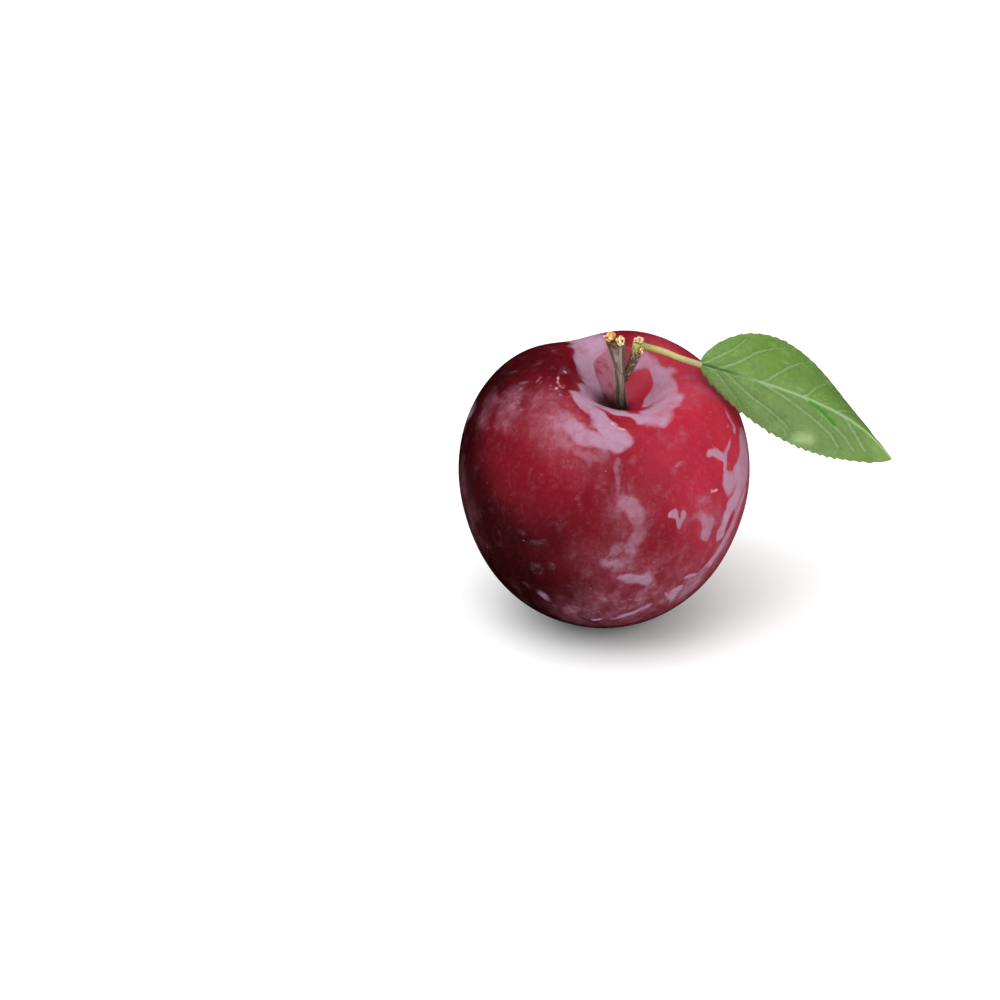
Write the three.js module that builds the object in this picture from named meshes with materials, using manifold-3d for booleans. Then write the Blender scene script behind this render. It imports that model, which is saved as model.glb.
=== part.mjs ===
// A plum lying on a small flat spot, with its woody stalk, a short side shoot and one leaf.
// Millimetres, +Z up. Each piece is shaped about the fruit's centre, then all are set down together.
import * as THREE from "three";
import { mergeVertices } from "three/addons/utils/BufferGeometryUtils.js";
import Module from "manifold-3d";

// Fruit body: a ball with a few swellings along its stem axis
const FRUIT_RADIUS = 30;
const TOP_SWELLING = 0.021; // fuller at the stem end when above zero
const LENGTHENING = 0.046;
const SHOULDERS = -0.028; // broad at the stem end, narrower towards the apex
const SQUARENESS = -0.014;
const SIDE_FLATTENING = 0.014;
const BROAD_SIDE_TURN = THREE.MathUtils.degToRad(12);
const FRUIT_AROUND = 72;
const FRUIT_DOWN = 52;
const ROWS_DRAWN_UP = 0.35; // how far the rows crowd towards the cavity

// Suture: the groove that runs from the cavity down one side, and the cheeks beside it
const SUTURE_TURN = THREE.MathUtils.degToRad(113.7);
const SUTURE_DEPTH = 2.17;
const SUTURE_WIDTH = 8.3;
const SUTURE_START = 5; // how softly the groove begins at the cavity
const SUTURE_END = THREE.MathUtils.degToRad(144); // polar angle where it fades out
const CHEEK_RISE = 2.75;
const CHEEK_TURN = 0.8;
const CHEEK_WIDTH = 0.83;
const CHEEK_SOFTNESS = 0.15;

// Cavity: the hollow the stalk stands in
const CAVITY_DEPTH = 11.6;
const CAVITY_WIDTH = 9.7;
const CAVITY_OFFSET = 2;

// How the fruit lies: leaning towards the front and a little towards the leaf
const LEAN_FORWARD = THREE.MathUtils.degToRad(6);
const LEAN_SIDEWAYS = THREE.MathUtils.degToRad(3.2);
const FOOT_DEPTH = 0.75; // how much of the underside the flat spot takes away
const FOOT_TOLERANCE = 1e-3;
const FLOOR_BLOCK = 80;

// Stalk, side shoot and petiole: paths from foot to end, and radii on the way
const STALK_PATH = [
  new THREE.Vector3(3.1, -2.3, 18.8),
  new THREE.Vector3(2.8, -2.3, 21.9),
  new THREE.Vector3(2.8, -2.3, 26.4),
  new THREE.Vector3(2.2, -2.3, 31.4),
  new THREE.Vector3(1.7, -2.3, 34.8),
];
const STALK_FOOT_RADIUS = 1.15;
const STALK_END_RADIUS = 1.8;
const STALK_TAPER = 0.15; // steady widening on top of the flare
const STALK_FLARE = 4; // how late along its length the stalk widens
const STALK_FACETS = { sides: 16, steps: 20 };

const SHOOT_PATH = [
  new THREE.Vector3(4.8, -2.3, 26.6),
  new THREE.Vector3(5.3, -2.3, 29.4),
  new THREE.Vector3(5.9, -2.2, 31.9),
  new THREE.Vector3(6.3, -2.2, 33.8),
];
const SHOOT_FOOT_RADIUS = 0.35;
const SHOOT_END_RADIUS = 0.92;
const SHOOT_FLARE = 0.45;
const SHOOT_FACETS = { sides: 14, steps: 12 };

const PETIOLE_PATH = [
  new THREE.Vector3(7.7, -2.2, 33.3),
  new THREE.Vector3(11.3, -2, 31.6),
  new THREE.Vector3(15.1, -1.6, 29.7),
  new THREE.Vector3(18.8, -1, 28.4),
];
const PETIOLE_FOOT_RADIUS = 0.62;
const PETIOLE_END_RADIUS = 0.68;
const PETIOLE_FACETS = { sides: 12, steps: 16 };

// Leaf blade: the midrib is a cubic curve; two halves fall away from it
const MIDRIB = new THREE.CubicBezierCurve3(
  new THREE.Vector3(19.3, -1, 28.5),
  new THREE.Vector3(41.2, -5.6, 23.6),
  new THREE.Vector3(51.6, -5.3, 19.2),
  new THREE.Vector3(58.5, -8.2, 10.1),
);
const LEAF_FACES = new THREE.Vector3(0, -0.87, 0.5).normalize();
const BACK_HALF = { width: 12.6, basePower: 0.67, tipPower: 0.78, foldAtBase: 0.17, foldAtTip: 1.7 };
const FRONT_HALF = { width: 9.4, basePower: 0.85, tipPower: 0.68, foldAtBase: 0.4, foldAtTip: 0 };
const BLADE_AT_PETIOLE = 0.6; // half width left at the base
const BLADE_AT_TIP = 0.3;
const LEAF_THICKNESS = 0.5;
const FOLD_POWER = 1.5;
const TEETH_PER_SIDE = 22;
const TOOTH_DEPTH = 0.35;
const TOOTH_REACH = 6; // how close to the margin a tooth stays
const LEAF_STEPS_ACROSS = 12;
const NORMAL_STEP = 0.01; // share of the blade stepped over to find its normal

// Torn scales on the ends of the stalk and the shoot: centre and half sizes
const SCALES = {
  tip_scale_left: { at: [0.7, -2.1, 35.8], half: [1.0, 0.9, 0.75] },
  tip_scale_right: { at: [2.9, -3.7, 36.1], half: [0.75, 0.85, 0.7] },
  shoot_scale: { at: [6.4, -2.2, 34.8], half: [0.75, 0.65, 0.55] },
  petiole_scale: { at: [7.5, -3.3, 32.2], half: [0.42, 0.42, 0.5] },
};
const SCALE_FACETS = { around: 12, down: 8 };

// Colour and roughness of each piece
const FINISHES = {
  fruit: { color: "#7d1c2e", roughness: 0.35 },
  stalk: { color: "#6b5b52", roughness: 0.85 },
  side_shoot: { color: "#6f6a3e", roughness: 0.8 },
  petiole: { color: "#a3a860", roughness: 0.6 },
  leaf: { color: "#5f8f45", roughness: 0.55 },
  tip_scale_left: { color: "#c98a45", roughness: 0.8 },
  tip_scale_right: { color: "#e2c391", roughness: 0.8 },
  shoot_scale: { color: "#e0b9a0", roughness: 0.8 },
  petiole_scale: { color: "#d9b48c", roughness: 0.8 },
};

const SAME_POINT = 1e-4; // vertices closer than this are one

const manifold = await Module();
manifold.setup();

// Moves every vertex of a geometry to where `place` puts it, and closes the seams.
function reshape(geometry, place) {
  const position = geometry.getAttribute("position");
  const point = new THREE.Vector3();
  for (let i = 0; i < position.count; i++) {
    point.fromBufferAttribute(position, i);
    const moved = place(point);
    position.setXYZ(i, moved.x, moved.y, moved.z);
  }
  return closed(geometry);
}

function closed(geometry) {
  geometry.deleteAttribute("normal");
  geometry.deleteAttribute("uv");
  const merged = mergeVertices(geometry, SAME_POINT);
  merged.computeVertexNormals();
  return merged;
}

function solidFrom(geometry) {
  const mesh = new manifold.Mesh({
    numProp: 3,
    vertProperties: new Float32Array(geometry.getAttribute("position").array),
    triVerts: new Uint32Array(geometry.index.array),
  });
  return new manifold.Manifold(mesh);
}

function geometryFrom(solid) {
  const mesh = solid.getMesh();
  const geometry = new THREE.BufferGeometry();
  geometry.setAttribute("position", new THREE.BufferAttribute(mesh.vertProperties, 3));
  geometry.setIndex(new THREE.BufferAttribute(mesh.triVerts, 1));
  geometry.computeVertexNormals();
  return geometry;
}

// Groove depth at a place on the skin: a bell across the suture, begun softly and faded out.
function sutureAt(polar, turn) {
  const reach = FRUIT_RADIUS * Math.sin(polar);
  const across = reach * Math.sin(turn);
  const along = reach * Math.cos(turn);
  const begun = 0.5 * (1 + Math.tanh(along / SUTURE_START));
  const faded = Math.max(0, 1 - polar / SUTURE_END);
  return SUTURE_DEPTH * Math.exp(-((across / SUTURE_WIDTH) ** 2)) * begun * faded;
}

// The cheeks swell on both sides of the suture and fade with it.
function cheekAt(polar, turn) {
  const away = Math.hypot(turn, CHEEK_SOFTNESS) - CHEEK_TURN;
  const faded = Math.max(0, 1 - polar / SUTURE_END);
  return CHEEK_RISE * Math.exp(-((away / CHEEK_WIDTH) ** 2)) * Math.sin(polar) * faded;
}

// A point of the skin from its polar angle and its turn about the stem axis.
function skinPoint(polar, azimuth) {
  const up = Math.cos(polar);
  const out = Math.sin(polar);
  const lengthened = (3 * up ** 2 - 1) / 2;
  const shouldered = (5 * up ** 3 - 3 * up) / 2;
  const squared = (35 * up ** 4 - 30 * up ** 2 + 3) / 8;
  const flattened = out ** 2 * Math.cos(2 * (azimuth - BROAD_SIDE_TURN));
  const swelling =
    TOP_SWELLING * up +
    LENGTHENING * lengthened +
    SHOULDERS * shouldered +
    SQUARENESS * squared +
    SIDE_FLATTENING * flattened;
  const full = 2 * Math.PI;
  const turn = THREE.MathUtils.euclideanModulo(azimuth - SUTURE_TURN + Math.PI, full) - Math.PI;
  const radius = FRUIT_RADIUS * (1 + swelling) - sutureAt(polar, turn) + cheekAt(polar, turn);
  const point = new THREE.Vector3(
    radius * out * Math.cos(azimuth),
    radius * out * Math.sin(azimuth),
    radius * up,
  );
  if (up > 0) {
    const fromCavity = Math.hypot(point.x - CAVITY_OFFSET, point.y);
    point.z -= CAVITY_DEPTH * Math.exp(-((fromCavity / CAVITY_WIDTH) ** 2));
  }
  return point;
}

function leaned(point) {
  point.applyAxisAngle(new THREE.Vector3(0, 1, 0), LEAN_SIDEWAYS);
  return point.applyAxisAngle(new THREE.Vector3(1, 0, 0), LEAN_FORWARD);
}

// The whole fruit, leaning, with its underside cut to a small flat spot.
function fruitGeometry() {
  const ball = new THREE.SphereGeometry(1, FRUIT_AROUND, FRUIT_DOWN);
  ball.rotateX(Math.PI / 2);
  const body = reshape(ball, (point) => {
    const even = Math.acos(THREE.MathUtils.clamp(point.z, -1, 1));
    const polar = even - ROWS_DRAWN_UP * Math.sin(even);
    return leaned(skinPoint(polar, Math.atan2(point.y, point.x)));
  });
  body.computeBoundingBox();
  const footHeight = body.boundingBox.min.z + FOOT_DEPTH;
  const floor = closed(new THREE.BoxGeometry(FLOOR_BLOCK, FLOOR_BLOCK, FLOOR_BLOCK));
  floor.translate(0, 0, footHeight - FLOOR_BLOCK / 2);
  return geometryFrom(solidFrom(body).subtract(solidFrom(floor)));
}

// The middle of the flat spot, from the vertices that lie on it.
function footCentre(fruit) {
  fruit.computeBoundingBox();
  const height = fruit.boundingBox.min.z;
  const position = fruit.getAttribute("position");
  const foot = new THREE.Box3();
  const point = new THREE.Vector3();
  for (let i = 0; i < position.count; i++) {
    point.fromBufferAttribute(position, i);
    if (point.z < height + FOOT_TOLERANCE) foot.expandByPoint(point);
  }
  return foot.getCenter(new THREE.Vector3()).setZ(height);
}

// A round rod carried along a curve; `radiusAt` takes the share of the length, 0 to 1.
function rodGeometry(path, radiusAt, { sides, steps }) {
  const curve = new THREE.CatmullRomCurve3(path);
  const frames = curve.computeFrenetFrames(steps, false);
  const rod = new THREE.CylinderGeometry(1, 1, 1, sides, steps);
  rod.rotateX(Math.PI / 2);
  return reshape(rod, (point) => {
    const share = point.z + 0.5;
    const step = Math.round(share * steps);
    const radius = radiusAt(share);
    return curve
      .getPointAt(share)
      .addScaledVector(frames.normals[step], point.x * radius)
      .addScaledVector(frames.binormals[step], point.y * radius);
  });
}

function stalkGeometry() {
  const gain = STALK_END_RADIUS - STALK_FOOT_RADIUS;
  const radiusAt = (share) =>
    STALK_FOOT_RADIUS + gain * share ** STALK_FLARE + STALK_TAPER * share;
  return rodGeometry(STALK_PATH, radiusAt, STALK_FACETS);
}

function shootGeometry() {
  const gain = SHOOT_END_RADIUS - SHOOT_FOOT_RADIUS;
  const radiusAt = (share) => SHOOT_FOOT_RADIUS + gain * share ** SHOOT_FLARE;
  return rodGeometry(SHOOT_PATH, radiusAt, SHOOT_FACETS);
}

function petioleGeometry() {
  const radiusAt = (share) =>
    THREE.MathUtils.lerp(PETIOLE_FOOT_RADIUS, PETIOLE_END_RADIUS, share);
  return rodGeometry(PETIOLE_PATH, radiusAt, PETIOLE_FACETS);
}

function scaleGeometry(scale) {
  const lump = closed(new THREE.SphereGeometry(1, SCALE_FACETS.around, SCALE_FACETS.down));
  lump.scale(...scale.half);
  lump.translate(...scale.at);
  return lump;
}

// Half width of the blade along the midrib: a lopsided arch plus a narrow strip at both ends.
function halfWidthAt(share, half) {
  const peak = half.basePower / (half.basePower + half.tipPower);
  const arch = (at) => at ** half.basePower * (1 - at) ** half.tipPower;
  const strip = THREE.MathUtils.lerp(BLADE_AT_PETIOLE, BLADE_AT_TIP, share);
  return strip + (half.width * arch(share)) / arch(peak);
}

// Middle surface of the blade: share along the midrib, side from -1 (front) to 1 (back).
function bladePoint(share, side) {
  const along = THREE.MathUtils.clamp(share, 0, 1);
  const half = side > 0 ? BACK_HALF : FRONT_HALF;
  const tangent = MIDRIB.getTangentAt(along);
  const across = new THREE.Vector3().crossVectors(LEAF_FACES, tangent).normalize();
  const facing = new THREE.Vector3().crossVectors(tangent, across);
  const phase = (along * TEETH_PER_SIDE) % 1;
  const tooth = TOOTH_DEPTH * (1 - Math.abs(2 * phase - 1));
  const reach = halfWidthAt(along, half) + tooth * Math.abs(side) ** TOOTH_REACH;
  const fold = THREE.MathUtils.lerp(half.foldAtBase, half.foldAtTip, along);
  return MIDRIB.getPointAt(along)
    .addScaledVector(across, side * reach * Math.cos(fold))
    .addScaledVector(facing, -reach * Math.sin(fold) * Math.abs(side) ** FOLD_POWER);
}

// The blade faces along its own normal, found from two short steps on the surface.
function bladeNormal(share, side) {
  const inside = THREE.MathUtils.clamp(share, NORMAL_STEP, 1 - NORMAL_STEP);
  const along = bladePoint(inside + NORMAL_STEP, side).sub(bladePoint(inside - NORMAL_STEP, side));
  const across = bladePoint(inside, side + NORMAL_STEP).sub(bladePoint(inside, side - NORMAL_STEP));
  return along.cross(across).normalize();
}

function leafGeometry() {
  const sheet = new THREE.BoxGeometry(1, 2, 1, 2 * TEETH_PER_SIDE, LEAF_STEPS_ACROSS, 1);
  return reshape(sheet, (point) => {
    const share = point.x + 0.5;
    const normal = bladeNormal(share, point.y);
    return bladePoint(share, point.y).addScaledVector(normal, point.z * LEAF_THICKNESS);
  });
}

function piece(name, geometry) {
  const mesh = new THREE.Mesh(geometry, new THREE.MeshStandardMaterial(FINISHES[name]));
  mesh.name = name;
  return mesh;
}

const plum = new THREE.Group();
plum.name = "plum";
plum.add(
  piece("fruit", fruitGeometry()),
  piece("stalk", stalkGeometry()),
  piece("side_shoot", shootGeometry()),
  piece("petiole", petioleGeometry()),
  piece("leaf", leafGeometry()),
);
for (const [name, scale] of Object.entries(SCALES)) plum.add(piece(name, scaleGeometry(scale)));

const foot = footCentre(plum.getObjectByName("fruit").geometry);
for (const mesh of plum.children) mesh.geometry.translate(-foot.x, -foot.y, -foot.z);

export default plum;
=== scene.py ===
import bpy
import numpy as np
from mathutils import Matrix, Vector


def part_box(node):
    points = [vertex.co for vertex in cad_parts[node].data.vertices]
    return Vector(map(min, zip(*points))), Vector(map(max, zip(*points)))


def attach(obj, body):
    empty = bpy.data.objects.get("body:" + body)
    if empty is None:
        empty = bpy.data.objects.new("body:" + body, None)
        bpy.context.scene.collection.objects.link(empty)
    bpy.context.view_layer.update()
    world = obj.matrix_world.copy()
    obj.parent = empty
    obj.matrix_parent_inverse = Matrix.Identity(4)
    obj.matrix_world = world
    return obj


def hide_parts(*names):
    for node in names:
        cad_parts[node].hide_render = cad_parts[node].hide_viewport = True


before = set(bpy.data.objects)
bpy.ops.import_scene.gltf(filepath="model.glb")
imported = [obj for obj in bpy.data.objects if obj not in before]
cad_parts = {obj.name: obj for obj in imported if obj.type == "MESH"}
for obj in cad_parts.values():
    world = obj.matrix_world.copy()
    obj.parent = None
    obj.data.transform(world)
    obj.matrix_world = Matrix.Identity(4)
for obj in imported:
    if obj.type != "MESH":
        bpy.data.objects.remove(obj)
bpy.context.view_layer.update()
mm = 0.001


# sRGB hex text to the linear colour that a socket takes
def colour(text):
    code = np.array([int(text[i:i + 2], 16) for i in (1, 3, 5)]) / 255
    linear = np.where(code <= 0.04045, code / 12.92, ((code + 0.055) / 1.055) ** 2.4)
    return (*linear, 1)


# 0 below the first bound, 1 above the second, an S between them
def easeBetween(low, high, value):
    share = np.clip((value - low) / (high - low), 0, 1)
    return share * share * (3 - 2 * share)


# Each vector over its own length
def unit(vectors):
    return vectors / np.linalg.norm(vectors, axis=-1, keepdims=True)


# A sum of sine waves in a and b, brought to about one. Each has its own pace and phase, the slow
# ones are the higher ones, and all of them close up round a full turn of a.
def ripples(a, b, paceA, paceB, waves, seed):
    draw = np.random.default_rng(seed)
    total = np.zeros(np.broadcast(a, b).shape)
    for _ in range(waves):
        stretch = draw.uniform(0.35, 1)
        turnA = max(1, round(paceA * stretch))
        total = total + np.sin(turnA * a + draw.normal(0, paceB) * b + draw.uniform(0, 6.28)) / stretch
    return total / (1.6 * waves ** 0.5)


# Length along a line of points up to each of them: the sum of the steps before it
def lengthAlong(line):
    return np.concatenate([[0], np.cumsum(np.linalg.norm(np.diff(line, axis=0), axis=1))])


# Nearest distance from each point to a line of stops: on each span the foot of the point, held
# between the span's ends, and then the least of all spans
def nearestTo(points, stops):
    near = np.full(points.shape[:-1], np.inf)
    for start, end in zip(stops, stops[1:]):
        span = end - start
        along = np.clip(((points - start) @ span) / (span @ span), 0, 1)
        near = np.minimum(near, np.linalg.norm(points - start - along[..., None] * span, axis=-1))
    return near


# Points in millimetres and faces become a smooth mesh in metres. Faces are turned round when the
# volume they enclose, a sum of corner-to-corner products, comes out below zero.
def closedMesh(name, points, quads, triangles):
    corners = points[np.concatenate([quads[:, [0, 1, 2]], quads[:, [0, 2, 3]], triangles])]
    volume = np.einsum("ij,ij->", corners[:, 0], np.cross(corners[:, 1], corners[:, 2]))
    if volume < 0:
        quads, triangles = quads[:, ::-1], triangles[:, ::-1]
    mesh = bpy.data.meshes.new(name)
    mesh.from_pydata((points * mm).tolist(), [], quads.tolist() + triangles.tolist())
    mesh.shade_smooth()
    return mesh


# Rings, one after another, close into a skin: each ring joins the next, and one point caps each end
def skinOfRings(name, rings, firstEnd, lastEnd):
    rows, around = rings.shape[:2]
    points = np.concatenate([rings.reshape(-1, 3), [firstEnd, lastEnd]])
    ids = np.arange(rows * around).reshape(rows, around)
    beside = np.roll(ids, -1, axis=1)
    quads = np.stack([ids[:-1], ids[1:], beside[1:], beside[:-1]], axis=-1).reshape(-1, 4)
    first = np.stack([np.full(around, len(points) - 2), ids[0], beside[0]], axis=-1)
    last = np.stack([np.full(around, len(points) - 1), beside[-1], ids[-1]], axis=-1)
    return closedMesh(name, points, quads, np.concatenate([first, last]))


# One number for each point of the mesh, which a material reads by its name
def addAttribute(mesh, name, values):
    mesh.attributes.new(name, "FLOAT", "POINT").data.foreach_set("value", np.ravel(values))


# Points given as shares of a node's box, in millimetres: its low corner plus the shares of its size
def inBox(node, shares):
    low, high = (np.array(corner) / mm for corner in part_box(node))
    return low + np.array(shares) * (high - low)


# A mesh and its material become a piece on the root body that stands in for a node, whose own part is hidden
def finishPiece(mesh, material, node):
    piece = bpy.data.objects.new(mesh.name, mesh)
    bpy.context.scene.collection.objects.link(piece)
    mesh.materials.append(material)
    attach(piece, "root")
    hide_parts(node)
    print(f"{mesh.name}: {len(mesh.polygons)} faces")


# Shader helpers. One node with its inputs, which are values or other nodes' sockets
def addNode(tree, kind, inputs, **settings):
    node = tree.nodes.new("ShaderNode" + kind)
    for name, value in settings.items():
        setattr(node, name, value)
    for name, value in inputs.items():
        socket = node.inputs[name]
        if isinstance(value, bpy.types.NodeSocket):
            tree.links.new(value, socket)
        else:
            socket.default_value = value
    return node


# First plus second
def sumOf(tree, first, second):
    return addNode(tree, "Math", {0: first, 1: second}, operation="ADD").outputs[0]


# First times second
def timesOf(tree, first, second):
    return addNode(tree, "Math", {0: first, 1: second}, operation="MULTIPLY").outputs[0]


# A noise about zero: the noise less a half, times its reach
def swingOf(tree, noise, reach):
    return timesOf(tree, sumOf(tree, noise, -0.5), reach)


# An S from start to end while the value goes from low to high, and level outside
def eased(tree, value, low, high, start=0.0, end=1.0):
    bounds = {"Value": value, "From Min": low, "From Max": high, "To Min": start, "To Max": end}
    return addNode(tree, "MapRange", bounds, interpolation_type="SMOOTHSTEP").outputs[0]


# A share times an S curve of a value
def fadedBy(tree, share, value, curve):
    return timesOf(tree, share, eased(tree, value, *curve))


# First colour times what the share leaves, plus second colour times the share
def blended(tree, share, first, second):
    return addNode(tree, "Mix", {0: share, 6: first, 7: second}, data_type="RGBA").outputs[2]


# A tint of the look blended over a colour, by one of the look's S curves of a value
def tinted(tree, under, value, look, curve, tint):
    return blended(tree, eased(tree, value, *look[curve]), under, look[tint])


# Cloudy noise from 0 to 1, of so many lumps to the metre
def noiseOf(tree, place, perMetre, detail, roughness, distortion=0.0):
    inputs = {"Vector": place, "Scale": perMetre, "Detail": detail, "Roughness": roughness}
    return addNode(tree, "TexNoise", inputs | {"Distortion": distortion}).outputs["Fac"]


# Coordinates times three shares: a share below one draws a noise out along that axis
def drawnOut(tree, place, shares):
    return addNode(tree, "Mapping", {"Vector": place, "Scale": shares}).outputs[0]


# A number that the mesh carries
def attributeOf(tree, name):
    return addNode(tree, "Attribute", {}, attribute_name=name).outputs["Fac"]


# The surface tilted as if the height, times the depth in metres, stood on it
def bumpOf(tree, height, strength, depth):
    inputs = {"Height": height, "Strength": strength, "Distance": depth}
    return addNode(tree, "Bump", inputs).outputs[0]


# A bare material: its tree, its shader and the object's own coordinates
def newMaterial(name):
    material = bpy.data.materials.new(name)
    material.use_nodes = True
    tree = material.node_tree
    place = addNode(tree, "TexCoord", {}).outputs["Object"]
    return material, tree, tree.nodes["Principled BSDF"], place


# Sockets are linked to the shader, and what is the same all over is set on the shader itself
def wireShader(tree, shader, links, values):
    for name, socket in links.items():
        tree.links.new(socket, shader.inputs[name])
    for name, value in values.items():
        shader.inputs[name].default_value = value


# The fruit, in millimetres and degrees. The swellings are shares of the radius.
plumBody = {
    "radius": 30.0,
    "topSwelling": 0.021,
    "lengthening": 0.046,
    "shoulders": -0.028,
    "squareness": -0.014,
    "sideFlattening": 0.014,
    "broadSideTurn": 12,
    "around": 380,
    "down": 256,
    "rowsDrawnUp": 0.35,  # how much closer the mesh's rows stand at the cavity
    "columnsDrawnFront": 0.33,  # and its columns at the densest turn
    "densestTurn": -60,
    "footDepth": 0.75,
    "footSoftness": 0.12,
    "leanForward": 6,
    "leanSideways": 3.2,
    "unevenness": 0.07,
    "unevenWaves": {"paceA": 5, "paceB": 4, "waves": 9, "seed": 3},
}
suture = {"turn": 113.7, "depth": 2.17, "width": 8.3, "start": 5, "end": 144}
cheeks = {"rise": 2.75, "turn": 0.8, "width": 0.83, "softness": 0.15}
cavity = {"depth": 11.6, "width": 9.7, "offset": 2}


# Distance from the middle: a ball with five swellings along its stem axis, less the suture's
# bell-shaped groove, plus the cheeks on both sides of it. Then the cavity, a bell-shaped hollow,
# lowers what is above the middle.
def plumSkin(polar, turn):
    up, out = np.cos(polar), np.sin(polar)
    swelling = (
        plumBody["topSwelling"] * up
        + plumBody["lengthening"] * (3 * up ** 2 - 1) / 2
        + plumBody["shoulders"] * (5 * up ** 3 - 3 * up) / 2
        + plumBody["squareness"] * (35 * up ** 4 - 30 * up ** 2 + 3) / 8
        + plumBody["sideFlattening"] * out ** 2 * np.cos(2 * (turn - np.radians(plumBody["broadSideTurn"])))
    )
    away = (turn - np.radians(suture["turn"]) + np.pi) % (2 * np.pi) - np.pi
    across = plumBody["radius"] * out * np.sin(away)
    along = plumBody["radius"] * out * np.cos(away)
    fade = np.clip(1 - polar / np.radians(suture["end"]), 0, None)
    groove = suture["depth"] * np.exp(-(across / suture["width"]) ** 2) * fade
    groove = groove * 0.5 * (1 + np.tanh(along / suture["start"]))
    offCheek = (np.hypot(away, cheeks["softness"]) - cheeks["turn"]) / cheeks["width"]
    cheek = cheeks["rise"] * np.exp(-offCheek ** 2) * out * fade
    uneven = plumBody["unevenness"] * out * ripples(turn, polar, **plumBody["unevenWaves"])
    radius = plumBody["radius"] * (1 + swelling) - groove + cheek + uneven
    x, y, z = radius * out * np.cos(turn), radius * out * np.sin(turn), radius * up
    hollow = cavity["depth"] * np.exp(-(np.hypot(x - cavity["offset"], y) / cavity["width"]) ** 2)
    return np.stack([x, y, z - np.where(up > 0, hollow, 0)], axis=-1)


# The fruit leans: points turned about Y by the sideways lean, then about X by the forward lean
def leaned(points):
    side, front = np.radians(plumBody["leanSideways"]), np.radians(plumBody["leanForward"])
    x, y, z = np.moveaxis(points, -1, 0)
    x, z = np.cos(side) * x + np.sin(side) * z, np.cos(side) * z - np.sin(side) * x
    y, z = np.cos(front) * y - np.sin(front) * z, np.sin(front) * y + np.cos(front) * z
    return np.stack([x, y, z], axis=-1)


# Unit direction for a turn about the stem axis and a drop from its top, both in degrees
def direction(turn, drop):
    turn, drop = np.radians(turn), np.radians(drop)
    return np.array([np.sin(drop) * np.cos(turn), np.sin(drop) * np.sin(turn), np.cos(drop)])


# A field of plane sine waves through space, each with its own heading, pace and phase. Its three
# channels are sums of the same waves at other phases.
def swirl(points, pace, seed, waves=14):
    draw = np.random.default_rng(seed)
    heading = unit(draw.normal(size=(waves, 3))) * pace * draw.uniform(0.6, 1.5, (waves, 1))
    phase = draw.uniform(0, 2 * np.pi, (3, waves))
    field = np.sin((points @ heading.T)[..., None, :] + phase)
    return field.sum(-1) / (waves / 2) ** 0.5


# Strokes laid on the skin. A stroke's share is its strength near its line and goes in an S to nothing
# past its half width, and where strokes meet the stronger one wins.
def laid(strokes, towards, softness=0.45):
    share = np.zeros(towards.shape[:-1])
    for places, halfWidth, strength in strokes:
        off = np.degrees(nearestTo(towards, [direction(*place) for place in places])) / halfWidth
        share = np.maximum(share, strength * (1 - easeBetween(1 - softness, 1 + softness, off)))
    return share
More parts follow.
